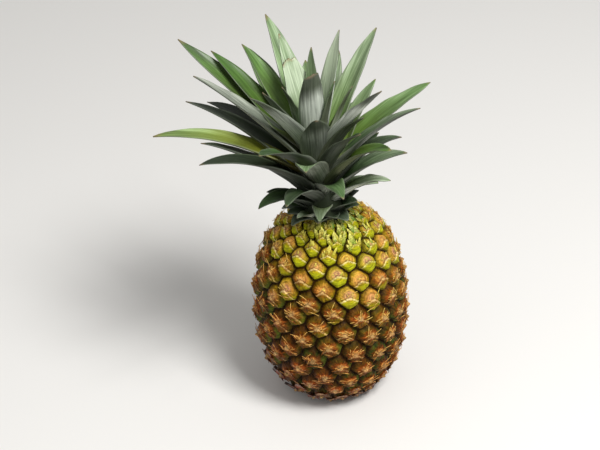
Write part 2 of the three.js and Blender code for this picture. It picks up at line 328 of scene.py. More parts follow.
# Pineapple rind: waxy, faceted into eyes. Tan over the withered middles and yellow-green on the fleshy
# bract feet near the top; below, small orange middles on dark olive, and brown-black in the grooves.
# Each list goes up the fruit from the base.
rindColours = {
    "foot": [(0.2, "#624434"), (0.28, "#683808"), (0.5, "#744204"), (0.6, "#90720A"),
             (0.67, "#C2AA0E"), (0.76, "#BCA812"), (0.9, "#9A9018")],
    "rim": [(0.2, "#463026"), (0.28, "#522A04"), (0.5, "#563204"), (0.6, "#664C06"),
            (0.67, "#94780A"), (0.76, "#8E7C0C"), (0.9, "#726C14")],
    "middle": [(0.2, "#7C5440"), (0.28, "#B8602E"), (0.44, "#DC8438"), (0.58, "#DA923A"),
               (0.67, "#D69E44"), (0.76, "#CEAA38"), (0.9, "#B6A82C")],
    "stain": [(0.2, "#3E2A22"), (0.3, "#70380E"), (0.55, "#904C14"), (0.67, "#AE7428"), (0.9, "#8C801C")],
    "groove": [(0.2, "#20120A"), (0.35, "#301600"), (0.6, "#341C00"), (0.7, "#342000"), (0.9, "#2A2000")],
    # the lip: the bract margin's own pale dry colour, with a painted highlight along its raised edge
    "lip": [(0.2, "#86705E"), (0.35, "#CC9458"), (0.6, "#EAC07A"), (0.7, "#F4E2A0"), (0.9, "#CCCC64")],
}

rindTones = {
    "greenRim": "#44581A",  # shows on some of the dry eyes
    "greenFoot": "#5A6014",
    "oliveHighlight": "#7A862A",  # a painted olive-green highlight along their lower edges
    "rustHalo": "#8C420E",  # round their middles
    "creamHeartAndHighlight": "#F2CC86",  # in their middles, partly the withered flower's own pale colour and partly a painted highlight on the knob
    "limeUnder": "#A6AA10",  # on the plump ones, low down
    "pinkMiddle": "#D6997A",  # round the flower on the plump ones
    # painted shade: a dark line on the rind just above the bract's raised margin, where its edge would shade
    # it
    "crease": "#3A2410",
}

# how far each eye's height, and the clouds and blotches of colour on it, move it along those lists
rindRipeness = {"start": -0.34, "chance": 0.16, "cloud": 0.3, "blotch": 0.22}

# from, to, and what it is at each end
dryToPlump = {
    "notDry": (0.54, 0.66, 0, 1),  # by ripeness
    "middleReach": (0.52, 0.66, 6.2, 10),  # by ripeness, mm out from the flower
    "flatness": (0, 1, 1.9, 1),
    "freckleLow": (0, 1, 0.5, 0.78),
}

# what it follows, from, to, and its share at each end
rindMasks = {
    "foot": ("rimEnd", 0.8, 3.8, 0, 1),
    "greenish": ("blotch", 0.42, 0.56, 0, 1),
    "greenChance": ("chance", 0.3, 0.7, 0.15, 0.9),
    "underside": ("up", -5.5, -2, 0.85, 0),
    "middle": ("past", -1.1, 3.5, 1, 0),
    "halo": ("past", 3, 5.9, 0.9, 0),
    "lowDown": ("up", -3.6, 0.8, 1, 0.25),
    "onBract": ("inside", -0.3, 0.3, 0, 1),
    "stained": ("blotch", 0.44, 0.62, 0, 0.85),
    "nearFlower": ("fromFlower", 2, 6.5, 0.75, 0),
    "heartAndHighlight": ("fromFlower", 0.8, 4.2, 1.3, 0),
    # the bract's pale margin, brightened with a painted highlight
    "lipHighlightRise": ("inside", 0, 0.4, 0, 1),
    "lipHighlightFall": ("inside", 0.8, 2.2, 1.4, 0),
    # a thin painted shade line just above the bract's margin
    "shadeLineRise": ("inside", -1.5, -0.6, 0, 1),
    "shadeLineFall": ("inside", -0.4, 0.1, 1, 0),
    "groove": ("raggedBorder", 1.2, 2.9, 1, 0),
    # the crescent band of the painted highlight, just inside the groove
    "highlightCrescentRise": ("raggedBorder", 1.3, 2.1, 0, 1),
    "highlightCrescentFall": ("raggedBorder", 3, 4.4, 1, 0),
    "under": ("lowerRight", -6, -2.5, 1.2, 0),
    "notBase": ("height", 0.22, 0.38, 0, 1),
    "streak": ("wrinkles", 0.32, 0.68, 1.35, 0.45),
    "dryShade": ("chance", 0, 1, 1.15, 0.6),
    "roughness": ("blotch", 0.3, 0.7, 0.36, 0.6),
}
softRindMasks = ("foot", "middle", "lowDown", "nearFlower", "heartAndHighlight", "groove")


def rindMaterial():
    material, tree = newMaterial("pineappleRind")
    tone = {name: hexColour(code) for name, code in rindTones.items()}
    spot = addNode(tree, "Attribute", attribute_name="eyeSpot").outputs["Vector"]
    mood = addNode(tree, "Attribute", attribute_name="eyeMood").outputs["Vector"]
    right, up, border = addNode(tree, "SeparateXYZ", [spot]).outputs
    height, chance, inside = addNode(tree, "SeparateXYZ", [mood]).outputs

    # clouds about 45 mm across, blotches 8 mm and speckles 1.6 mm
    where = addNode(tree, "TexCoord").outputs["Object"]
    cloud = addNode(tree, "TexNoise", {"Vector": where, "Scale": 22, "Detail": 2})
    blotch = addNode(tree, "TexNoise", {"Vector": where, "Scale": 130, "Detail": 4, "Roughness": 0.6})
    speckle = addNode(tree, "TexNoise", {"Vector": where, "Scale": 620, "Detail": 3, "Roughness": 0.65})

    # each eye ripens a little ahead of or behind its neighbours
    ripeness = addNode(tree, "Math", [height, rindRipeness["start"]], operation="ADD")
    for name, value in {"chance": chance, "cloud": cloud, "blotch": blotch}.items():
        ripeness = addNode(tree, "Math", [value, rindRipeness[name], ripeness], operation="MULTIPLY_ADD")
    colours = {
        name: setRamp(addNode(tree, "ValToRGB", [ripeness]), stops) for name, stops in rindColours.items()
    }
    notDry = addNode(tree, "MapRange", [ripeness, *dryToPlump["notDry"]])
    dry = addNode(tree, "Math", [1, notDry], operation="SUBTRACT")

    # streaks that run out from the withered flower, and rings round it on the plump eyes
    centreUp = addNode(tree, "Math", [up, 1], operation="SUBTRACT")
    spoke = addNode(tree, "Math", [centreUp, right], operation="ARCTAN2")
    streakPlace = addNode(tree, "CombineXYZ", [spoke, border, chance])
    streakPlace = addNode(tree, "Mapping", {0: streakPlace, "Scale": (4.5, 0.22, 30)})
    streaks = addNode(tree, "TexNoise", {"Vector": streakPlace, "Scale": 1, "Detail": 3, "Roughness": 0.6})
    flatness = addNode(tree, "MapRange", [notDry, *dryToPlump["flatness"]])
    flatUp = addNode(tree, "Math", [centreUp, flatness], operation="MULTIPLY")
    fromFlower = addNode(tree, "CombineXYZ", [right, flatUp])
    fromFlower = addNode(tree, "VectorMath", [fromFlower], operation="LENGTH")
    ringPlace = addNode(tree, "CombineXYZ", [spoke, fromFlower, chance])
    ringPlace = addNode(tree, "Mapping", {0: ringPlace, "Scale": (0.6, 0.7, 30)})
    rings = addNode(tree, "TexNoise", {"Vector": ringPlace, "Scale": 1, "Detail": 4, "Roughness": 0.6})
    wrinkles = addNode(tree, "Mix", {0: notDry, 2: streaks, 3: rings})

    # ragged distances: from the groove, and past the edge of the middle, which is small on the dry eyes
    rimEnd = addNode(tree, "Math", [streaks, -2, border], operation="MULTIPLY_ADD")
    raggedBorder = addNode(tree, "Math", [speckle, 1.6, border], operation="MULTIPLY_ADD")
    reach = addNode(tree, "MapRange", [ripeness, *dryToPlump["middleReach"]])
    frayed = addNode(tree, "Math", [streaks, 7, fromFlower], operation="MULTIPLY_ADD")
    past = addNode(tree, "Math", [frayed, reach], operation="SUBTRACT")
    lowerRight = addNode(tree, "Math", [up, right], operation="SUBTRACT")
    values = {
        "rimEnd": rimEnd, "blotch": blotch, "chance": chance, "up": up, "past": past, "inside": inside,
        "fromFlower": fromFlower, "raggedBorder": raggedBorder, "lowerRight": lowerRight,
        "height": height, "wrinkles": wrinkles,
    }
    mask = {}
    for name, (follows, *ends) in rindMasks.items():
        mask[name] = addNode(tree, "MapRange", [values[follows], *ends])
        if name in softRindMasks:
            mask[name].interpolation_type = "SMOOTHSTEP"

    green = (mask["greenish"], mask["greenChance"], dry)
    rim = paintOver(tree, colours["rim"], [(*green, tone["greenRim"])])
    foot = paintOver(tree, colours["foot"], [(*green, tone["greenFoot"])])
    flesh = paintOver(tree, colours["middle"], [
        (mask["stained"], colours["stain"]),
        (mask["nearFlower"], notDry, chance, tone["pinkMiddle"]),
    ])
    onFoot = addNode(tree, "Math", [mask["lowDown"], mask["onBract"]], operation="MULTIPLY")
    notFoot = addNode(tree, "Math", [1, onFoot], operation="SUBTRACT")
    crescent = (mask["highlightCrescentRise"], mask["highlightCrescentFall"], mask["under"], mask["notBase"])
    colour = paintOver(tree, rim, [
        (mask["foot"], foot),
        # the plump eyes are greenest underneath
        (mask["underside"], notDry, tone["limeUnder"]),
        (mask["halo"], dry, tone["rustHalo"]),
        # the bract keeps the foot's colour low down
        (mask["middle"], notFoot, flesh),
        # cream in the middle of the dry eyes: pale withered flower, and a painted highlight on the knob
        (mask["heartAndHighlight"], dry, blotch, tone["creamHeartAndHighlight"]),
        # the bract's margin: a pale dry lip, with a painted highlight along its raised edge, and a painted
        # shade line just above it
        (mask["lipHighlightRise"], mask["lipHighlightFall"], speckle, colours["lip"]),
        (mask["shadeLineRise"], mask["shadeLineFall"], blotch, tone["crease"]),
        (mask["groove"], colours["groove"]),
        # a painted olive highlight in a crescent round the lower right of many dry eyes
        (*crescent, dry, mask["greenChance"], tone["oliveHighlight"]),
    ])

    # freckles and streaks, and the dry eyes differ more from one another
    freckleLow = addNode(tree, "MapRange", [notDry, *dryToPlump["freckleLow"]])
    shade = addNode(tree, "MapRange", [speckle, 0.3, 0.7, freckleLow, 1.25])
    eyeShade = addNode(tree, "Mix", {0: notDry, 2: mask["dryShade"], 3: 1})
    for other in (mask["streak"], eyeShade):
        shade = addNode(tree, "Math", [shade, other], operation="MULTIPLY")
    colour = addNode(tree, "Mix", {0: 1, 6: colour, 7: shade}, data_type="RGBA", blend_type="MULTIPLY")

    relief = addNode(tree, "Math", [wrinkles, -1.5, speckle], operation="MULTIPLY_ADD")
    bump = addNode(tree, "Bump", {"Strength": 0.7, "Distance": 1 * mm, "Height": relief})
    skin = addNode(tree, "BsdfPrincipled", {
        "Base Color": colour, "Roughness": mask["roughness"], "Normal": bump, "IOR": 1.45,
        "Specular IOR Level": 0.12,
    })
    addNode(tree, "OutputMaterial", [skin])
    return material


bractShape = {
    "scaleGrid": (2, 5), "fibreGrid": (1, 4),  # faces across and along
    "thickness": 0.3,
    "root": -2.8,  # below the eye's middle
    "out": 1.3,  # of the fruit's own outline
    "lowest": 2.5,  # above the ground, of a scale's root
    "ownChance": 0.32, "sideChance": 0.28,  # how much of a scale's colour is its own, and its side's
}

# by height on the fruit: the scale's length, width, lift at its root and at its tip; then how many
# prongs it has, their length and width, how far right or left and up they stand, and their swing
bractGrowth = np.array([
    (0.18, 15, 22, 2, 6, 0, 6, 1.5, 3, -2, 40),
    (0.25, 13, 17, 2, 5, 1, 6, 1.2, 2.5, -1, 60),
    (0.32, 7, 11, 2, 3, 3, 5, 0.7, 3.4, -1, 75),
    (0.4, 4, 8, 2, 2, 4, 4.6, 0.55, 3.6, -1, 85),
    (0.6, 4, 7, 2, 2, 4, 4.4, 0.55, 3.6, -1, 85),
    (0.66, 5.5, 4, 2, 4, 2, 4, 0.8, 2, -0.5, 55),
    (0.72, 6.5, 4, 4, 10, 1, 5, 1.8, 3, -1, 40),
    (0.765, 10, 9, 6, 12, 3, 9, 3.6, 5.5, -4.5, 20),
    (0.83, 14, 12, 9, 20, 4, 12, 4.6, 6.5, -5, 17),
    (0.92, 17, 12, 20, 42, 4, 14, 4.6, 6.5, -5, 17),
])

# loose fibres along the dry scales' margins
fringe = {
    "from": 0.22, "to": 0.64, "count": 7, "length": 11, "width": 0.6, "lift": 2,
    "aside": (5, 2.5), "up": (-4, 4), "swing": (0.95, 0.6), "sway": 0.6,  # middle and spread
}


def fruitFrame(level, angle):
    # a point of the skin, and the directions right, up and out there
    step = 0.5
    r, z = atLevel(level, "r"), atLevel(level, "z")
    rise = Vector([atLevel(level + step, key) - atLevel(level - step, key) for key in ("r", "z")])
    rise.normalize()
    around = Vector((math.cos(angle), math.sin(angle), 0))
    up = around * rise.x + Vector((0, 0, rise.y))
    right = Vector((-math.sin(angle), math.cos(angle), 0))
    return around * r + Vector((0, 0, z)), right, up, right.cross(up)


def growScale(bm, dry, eye, seed, scale):
    # one pointed scale or fibre of an eye's bract; `scale` holds its place, size, lifts and swing
    across, along = scale["grid"]
    size = float(eyeSize(np.array(float(eye))))
    level = eye + scale["v"] * size / atLevel(eye, "pitch")
    angle = eye * eyeRule["turn"] + scale["u"] * size / atLevel(eye, "r")
    root, right, up, out = fruitFrame(level, angle)
    if root.z < bractShape["lowest"]:
        return
    turn = Matrix.Rotation(-scale["swing"], 3, out)
    right, up = turn @ right, turn @ up
    made = bmesh.ops.create_grid(bm, x_segments=across, y_segments=along, size=1)
    # greener on one side of the fruit, more tanned on the other
    chance = 0.5 + bractShape["ownChance"] * wobble(seed, 24)
    chance += bractShape["sideChance"] * math.cos(angle - freshSide["greenest"])
    spot, stations = root + out * (bractShape["out"] * size), []
    for k in range(along + 1):
        s = k / along
        lift = math.radians(mix(scale["liftRoot"], scale["liftTip"], s * s))
        sway = scale["sway"] * s
        ahead = (up * math.cos(sway) + right * math.sin(sway)) * math.cos(lift) + out * math.sin(lift)
        stations.append((spot.copy(), right.cross(ahead), s))
        spot += ahead * (scale["length"] / along)
    for vert in made["verts"]:
        u = vert.co.x
        place, face, s = stations[round((vert.co.y + 1) / 2 * along)]
        half = scale["width"] / 2 * (1 - s) ** 0.75 * (0.75 + 0.6 * s) * (1 - 0.7 * (1 - s) ** 5) + 0.1
        ragged = 1 + 0.25 * noise.noise(Vector((seed * 1.7, s * 4, u)))
        cup = 0.28 * half * u * u * (1 - 1.6 * s)
        vert.co = place + right * (u * half * ragged) + face * cup
        vert[dry] = Vector((s, freshness(eye, eye * eyeRule["turn"]), chance))


def fringeValue(key, seed, salt):
    middle, spread = fringe[key]
    return middle + spread * wobble(seed, salt)


def growBract(bm, dry, eye):
    height = freshness(eye, eye * eyeRule["turn"]) + 0.02 * wobble(eye, 20)
    grown = [np.interp(height, bractGrowth[:, 0], column) for column in bractGrowth.T[1:]]
    length, width, liftRoot, liftTip, prongs, prongLength, prongWidth, aside, up, swing = grown
    size = float(eyeSize(np.array(float(eye))))
    growScale(bm, dry, eye, eye, {
        "grid": bractShape["scaleGrid"],
        "u": 0, "v": bractShape["root"], "swing": 0.14 * wobble(eye, 31), "sway": 0.25 * wobble(eye, 25),
        "length": length * (1 + 0.25 * wobble(eye, 21)) * size ** 0.3,
        "width": width * (1 + 0.2 * wobble(eye, 22)) * size ** 0.5,
        "liftRoot": liftRoot, "liftTip": liftTip * (1 + 0.5 * wobble(eye, 23)),
    })
    count = max(0, round(prongs + 1.2 * wobble(eye, 26)))
    for k in range(count):
        seed = eye + 1000 * (k + 1)
        side = (2 * k + 1) / count - 1 + 0.15 * wobble(seed, 27)
        growScale(bm, dry, eye, seed, {
            "grid": bractShape["fibreGrid"],
            "u": side * aside, "v": up + 1.2 * wobble(seed, 28),
            "swing": side * math.radians(swing) + 0.25 * wobble(seed, 29), "sway": 0.4 * wobble(seed, 30),
            "length": prongLength * (1 + 0.4 * wobble(seed, 21)) * size ** 0.3,
            "width": prongWidth * (1 + 0.3 * wobble(seed, 22)),
            "liftRoot": liftRoot, "liftTip": liftTip * (0.9 + 0.6 * wobble(seed, 23)),
        })
    if not fringe["from"] < height < fringe["to"]:
        return
    for k in range(fringe["count"]):
        seed = eye + 100 * (k + 80)
        side = 1 if wobble(seed, 40) > 0 else -1
        growScale(bm, dry, eye, seed, {
            "grid": bractShape["fibreGrid"],
            "u": side * fringeValue("aside", seed, 41), "v": fringeValue("up", seed, 42),
            "swing": -side * fringeValue("swing", seed, 43),
            "sway": -fringe["sway"] * side * wobble(seed, 44),
            "length": fringe["length"] * (1 + 0.4 * wobble(seed, 45)), "width": fringe["width"],
            "liftRoot": fringe["lift"], "liftTip": fringe["lift"] * (2 + wobble(seed, 46)),
        })


def addWall(piece, thickness):
    wall = piece.modifiers.new("thickness", "SOLIDIFY")
    wall.thickness = thickness * mm
    wall.offset = 0
    return wall


def buildBracts(material):
    bm = bmesh.new()
    dry = bm.verts.layers.float_vector.new("dry")
    for eye in range(eyeRule["firstLevel"] + 2, lastEye - 1):
        growBract(bm, dry, eye)
    piece = finishPiece(bm, "bract_tips", [material])
    addWall(piece, bractShape["thickness"])


# Dry bract: a papery scale, straw at the tip and edges, purplish brown-grey near the stalk, green near
# the crown, where some scales have tanned and some are still leaf green; lower down some are rusty.
bractColours = {
    "body": [(0.2, "#4A3832"), (0.27, "#5A4032"), (0.36, "#7A4818"), (0.55, "#96601A"), (0.7, "#A8941A"),
             (0.8, "#9A9218"), (0.95, "#74861E")],
    "tip": [(0.2, "#8C7872"), (0.28, "#A88468"), (0.38, "#E09C4C"), (0.55, "#EABC64"), (0.75, "#DCD05C"),
            (0.9, "#D4D47A")],
    "tanned": [(0.6, "#A8641C"), (0.9, "#8A7A1C")],
    "greener": [(0.6, "#869C26"), (0.9, "#628A30")],
}
rustyBract = "#8A3A14"

# in rindMasks' columns
bractMasks = {
    "leafy": ("height", 0.66, 0.72, 0, 1),
    "tanned": ("chance", 0.26, 0.5, 0.9, 0),
    "greener": ("chance", 0.62, 0.85, 0, 0.9),
    "rusty": ("chance", 0.2, 0.7, 0.9, 0.1),
    "lower": ("height", 0.56, 0.66, 1, 0),
    "tip": ("frayed", 0.55, 1.1, 0, 1),
    "shade": ("fibre", 0.32, 0.68, 0.45, 1.35),
}


def bractMaterial():
    material, tree = newMaterial("paperyBract")
    dry = addNode(tree, "Attribute", attribute_name="dry").outputs["Vector"]
    share, height, chance = addNode(tree, "SeparateXYZ", [dry]).outputs
    where = addNode(tree, "TexCoord").outputs["Object"]
    # fibres about 1.2 mm apart, coarser than the real ones so that they show
    fibre = addNode(tree, "TexNoise", {"Vector": where, "Scale": 800, "Detail": 3})
    # each scale is coloured like those a little higher or lower
    level = addNode(tree, "Math", [chance, 0.14, height], operation="MULTIPLY_ADD")
    level = addNode(tree, "Math", [level, 0.07], operation="SUBTRACT")
    colours = {
        name: setRamp(addNode(tree, "ValToRGB", [level]), stops) for name, stops in bractColours.items()
    }
    frayed = addNode(tree, "Math", [fibre, 0.5, share], operation="MULTIPLY_ADD")
    values = {"height": height, "chance": chance, "frayed": frayed, "fibre": fibre}
    mask = {
        name: addNode(tree, "MapRange", [values[follows], *ends])
        for name, (follows, *ends) in bractMasks.items()
    }
    colour = paintOver(tree, colours["body"], [
        (mask["tanned"], mask["leafy"], colours["tanned"]),
        (mask["greener"], mask["leafy"], colours["greener"]),
        (mask["rusty"], mask["lower"], hexColour(rustyBract)),
        (mask["tip"], colours["tip"]),
    ])
    colour = addNode(tree, "Mix", {0: 1, 6: colour, 7: mask["shade"]},
                     data_type="RGBA", blend_type="MULTIPLY")
    paper = addNode(tree, "BsdfPrincipled", {
        "Base Color": colour, "Roughness": 0.7, "IOR": 1.45, "Specular IOR Level": 0.2,
    })
    addNode(tree, "OutputMaterial", [paper])
    return material


crownShape = {
    "seat": 161.5, "lean": math.radians(-6),
    "footRadius": 17, "topRadius": 7, "stemHeight": 79,
    "stemFoot": 0.3, "stemCap": 3, "stemSides": 36,
    "firstLeaf": 7, "lastLeaf": 74,  # heights of their roots
    "leaves": 56, "footLeaves": 11,
    "phase": math.radians(150),  # where the first leaf points
    "sunk": 0.75,  # the roots start at this share of the stem's radius
    "longSide": math.radians(165), "longGain": 0.16,  # leaves grow longer on one side
    "rootGutter": math.radians(58), "tipGutter": math.radians(26),
    "across": 10, "along": 28,  # faces of each leaf
    "thickness": 1.9, "tipThickness": 0.45, "edgeThickness": 0.5,  # the last two as shares
    "curl": (2.4, 1.4),  # how late the oldest and the youngest leaves bend
    "sway": math.radians(10), "twist": math.radians(14),
    # how far a leaf may be from the rule
    "angleSpread": math.radians(5), "sizeSpread": 0.08, "leanSpread": 4, "bendSpread": 0.5,
    "ripple": 0.05, "wave": 0.9, "tear": 2.2,  # of the edges, and of a broken end
}

# age (0 is the oldest leaf, 1 the youngest), length, width, lean at the root, further bend by the tip
growth = np.array([
    (0.0, 24, 17, 46, 60),
    (0.1, 36, 20, 44, 56),
    (0.22, 58, 24, 43, 50),
    (0.36, 84, 27, 42, 36),
    (0.55, 106, 28, 37, 22),
    (0.72, 106, 28, 28, 15),
    (0.86, 94, 25, 18, 10),
    (1.0, 62, 15, 6, 6),
])

# leaves that grew unlike the rule; cut is what is left of one whose tip has broken off
oddLeaves = {
    12: {"length": 62, "lean": 48, "bend": 42, "angle": 328},
    17: {"length": 86},
    18: {"length": 112, "lean": 38},
    21: {"length": 108},
    23: {"length": 126, "angle": 222},
    25: {"length": 96, "angle": 318},
    26: {"length": 122, "lean": 35},
    30: {"length": 104, "lean": 42},
    31: {"length": 136, "width": 25, "lean": 44, "bend": 38, "angle": 192},
    33: {"length": 90, "lean": 35, "angle": 303},
    34: {"length": 122, "lean": 27},
    35: {"length": 104, "lean": 55},
    36: {"length": 104, "lean": 41},
    37: {"length": 124, "angle": 104},
    38: {"length": 76},
    39: {"length": 124, "lean": 32},
    40: {"length": 110, "width": 27, "lean": 39, "bend": 12, "angle": 45},
    41: {"length": 77, "width": 32, "lean": 27, "bend": 12, "angle": 280},
    42: {"length": 104},
    43: {"length": 70},
    44: {"length": 88},
    45: {"length": 72},
    46: {"length": 110, "width": 30, "lean": 38, "bend": 10, "angle": 318},
    47: {"length": 134, "lean": 42, "angle": 158},
    48: {"length": 98},
    49: {"length": 98, "width": 32, "lean": 28, "angle": 230},
    52: {"length": 62},
    53: {"length": 78},
    54: {"length": 92, "width": 28, "lean": 12, "bend": 8, "angle": 287, "cut": 0.84},
    55: {"length": 84, "width": 30, "lean": 10, "angle": 122, "cut": 0.82},
}

# each leaf's colour: yellow (or grey-brown with age where it is negative), pale bloom, darkness; the
# darkness, and the deepest grey-brown of age, are partly painted shade on leaves that lie in shadow low on
# the crown
leafTints = {
    0: (0.2, 0.7, 0.1),
    2: (0.2, 0.9, 0.0),
    7: (0.3, 0.8, 0.0),
    9: (0.1, 0.9, 0.0),
    12: (0.15, 1.0, 0.0),
    13: (-0.8, 0.1, 0.5),
    17: (-0.2, 0.5, 0.3),
    18: (-0.9, 0.05, 0.6),
    21: (-0.9, 0.05, 0.6),
    22: (-0.4, 0.2, 0.6),
    23: (-0.85, 0.0, 0.7),
    26: (-0.7, 0.15, 0.6),
    29: (0.15, 0.2, 0.2),
    30: (-0.1, 0.45, 0.5),
    31: (0.95, 0.25, 0.0),
    32: (0.1, 0.9, 0.0),
    33: (0.0, 0.1, 0.45),
    34: (0.12, 0.05, 0.55),
    35: (0.15, 0.25, 0.1),
    36: (0.0, 0.1, 0.6),
    37: (0.1, 0.5, 0.0),
    39: (-0.8, 1.3, 0.2),
    40: (0.15, 0.75, 0.0),
    41: (0.0, 0.5, 0.2),
    42: (0.18, 0.1, 0.25),
    44: (0.0, 0.2, 0.5),
    46: (0.0, 2.6, 0.0),
    47: (0.15, 0.1, 0.45),
    48: (0.0, 2.4, 0.0),
    49: (0.0, 1.2, 0.2),
    50: (0.05, 0.9, 0.0),
    54: (0.0, 1.5, 0.0),
    55: (0.15, 1.6, 0.0),
}


def leafTint(index, age):
    if index in leafTints:
        return leafTints[index]
    # the others grey with age at the foot, are darker low on the crown as painted shade, and have more bloom
    # towards the top
    old = np.interp(age, (0.2, 0.48), (0.8, 0))
    young = np.interp(age, (0.15, 0.6), (0.3, 1))
    shade = np.interp(age, (0, 0.5), (0.5, 0))
    yellow = 0.2 + 0.15 * wobble(index, 11) - old
    bloom = (0.35 + 0.3 * wobble(index, 12)) * young
    return yellow, bloom, shade + 0.2 + 0.2 * wobble(index, 13)


def leafAt(index):
    c = crownShape
    age = max(0, index / (c["leaves"] - 1))
    length, width, lean, bend = [np.interp(age, growth[:, 0], column) for column in growth.T[1:]]
    angle = c["phase"] + index * eyeRule["turn"] + c["angleSpread"] * wobble(index, 1)
    gain = 1 + c["longGain"] * math.cos(angle - c["longSide"])
    odd = oddLeaves.get(index, {})
    return {
        "index": index,
        "angle": math.radians(odd["angle"]) if "angle" in odd else angle,
        "height": mix(c["firstLeaf"], c["lastLeaf"], age),
        "length": odd.get("length", length * (1 + c["sizeSpread"] * wobble(index, 2)) * gain),
        "width": odd.get("width", width * (1 + c["sizeSpread"] * wobble(index, 3))),
        "lean": math.radians(odd.get("lean", lean + c["leanSpread"] * wobble(index, 4))),
        "bend": math.radians(odd.get("bend", bend * (1 + c["bendSpread"] * wobble(index, 5)))),
        "curl": mix(*c["curl"], age),
        "sway": c["sway"] * wobble(index, 6),
        "twist": c["twist"] * wobble(index, 7),
        "cut": odd.get("cut", 1),
        "age": age,
    }


def leafTaper(s):
    # share of the full width at each share of the length
    return 0.95 * (1 - s) ** 0.8 * (1 + 1.15 * s) * (1 - 0.5 * (1 - s) ** 6)


def leafStations(leaf, count):
    # the leaf's middle line: place, direction, side, inward normal and share of the length
    c = crownShape
    start = mix(c["footRadius"], c["topRadius"], leaf["height"] / c["stemHeight"]) * c["sunk"]
    spot = Vector((start * math.cos(leaf["angle"]), start * math.sin(leaf["angle"]), leaf["height"]))

    def axes(s):
        lean = leaf["lean"] + leaf["bend"] * s ** leaf["curl"]
        yaw = leaf["angle"] + leaf["sway"] * s ** 1.5
        along = Vector((math.cos(yaw) * math.sin(lean), math.sin(yaw) * math.sin(lean), math.cos(lean)))
        side = Matrix.Rotation(leaf["twist"] * s, 3, along) @ Vector((-math.sin(yaw), math.cos(yaw), 0))
        return along, side, along.cross(side)

    stations = []
    for k in range(count + 1):
        s = leaf["cut"] * k / count
        stations.append((spot.copy(), *axes(s), s))
        spot += axes(s + leaf["cut"] / count / 2)[0] * (leaf["length"] * leaf["cut"] / count)
    return stations


def growLeaf(bm, leaf, layers):
    c = crownShape
    made = bmesh.ops.create_grid(bm, x_segments=c["across"], y_segments=c["along"], size=1)
    stations = leafStations(leaf, c["along"])
    seed = leaf["index"] * 7.31
    tint = leafTint(leaf["index"], leaf["age"])
    for vert in made["verts"]:
        u = vert.co.x
        place, along, side, inward, s = stations[round((vert.co.y + 1) / 2 * c["along"])]
        half = max(0.25, leaf["width"] / 2 * leafTaper(s))
        half *= 1 + c["ripple"] * noise.noise(Vector((seed, s * 6, u * 0.5)))
        gutter = mix(c["rootGutter"], c["tipGutter"], s)
        flat = half * math.sin(gutter * abs(u)) / gutter * (1 if u > 0 else -1)
        deep = half * (1 - math.cos(gutter * abs(u))) / gutter
        # the edges wave a little, less on short leaves
        wave = c["wave"] * abs(u) ** 3 * noise.noise(Vector((seed + 3, s * 7, u)))
        deep += wave * min(1, leaf["length"] / 60)
        vert.co = place + side * flat + inward * deep
        if leaf["cut"] < 1 and s > leaf["cut"] - 0.03:
            # the broken end is ragged
            vert.co += along * (c["tear"] * noise.noise(Vector((seed, u * 3, 0))) - 1.5 * abs(u))
        vert[layers["blade"]] = Vector((half * u, leaf["length"] * s, seed))
        vert[layers["grow"]] = Vector((s / leaf["cut"], leaf["age"], abs(u)))
        vert[layers["tint"]] = Vector(tint)
        # thinner towards the tip and the edges
        vert[layers["weight"]][0] = mix(1, c["tipThickness"], s) * mix(1, c["edgeThickness"], abs(u) ** 2)


def leanCrown(bm):
    lean = Matrix.Translation((0, 0, crownShape["seat"])) @ Matrix.Rotation(crownShape["lean"], 4, "Y")
    bmesh.ops.transform(bm, matrix=lean, verts=bm.verts)


def buildCrown(materials):
    c = crownShape
    bm = bmesh.new()
    layers = {name: bm.verts.layers.float_vector.new(name) for name in ("blade", "grow", "tint")}
    layers["weight"] = bm.verts.layers.deform.new()
    for index in range(-c["footLeaves"], c["leaves"]):
        growLeaf(bm, leafAt(index), layers)
    leanCrown(bm)
    piece = finishPiece(bm, "crown_leaves", materials, "crown")
    piece.vertex_groups.new(name="thickness")
    wall = addWall(piece, c["thickness"])
    wall.vertex_group = "thickness"
    wall.material_offset = 1
    wall.material_offset_rim = 0


def buildStem(material):
    c = crownShape
    bm = spinProfile([
        (0, c["stemFoot"]), (c["footRadius"], c["stemFoot"]), (c["footRadius"], c["firstLeaf"]),
        (c["topRadius"], c["stemHeight"]), (0, c["stemHeight"] + c["stemCap"]),
    ], c["stemSides"])
    leanCrown(bm)
    finishPiece(bm, "crown_stem", [material])


# Pineapple leaf: a stiff fibrous blade with fine parallel veins. The inner face is green under a thin
# wax; the outer face is covered with silver-grey scales over dark green.
leafColours = {
    "inside": {
        "fresh": "#4E8020", "deep": "#284816", "yellow": "#A2A62A", "bloom": "#C4D2B4", "old": "#282C24",
        "base": "#A9B582", "margin": "#B4C79A", "dryTip": "#8A7350",
    },
    "outside": {
        "fresh": "#3E4832", "deep": "#22281D", "yellow": "#858F3A", "bloom": "#CCD1C6", "old": "#33372F",
        "base": "#A8AD9C", "margin": "#8E9A80", "dryTip": "#6E5D42",
    },
}
yellowRoot = "#8E6A16"  # where a yellowed leaf has begun to brown
greyBloom = "#94968E"  # on leaves grown grey with age

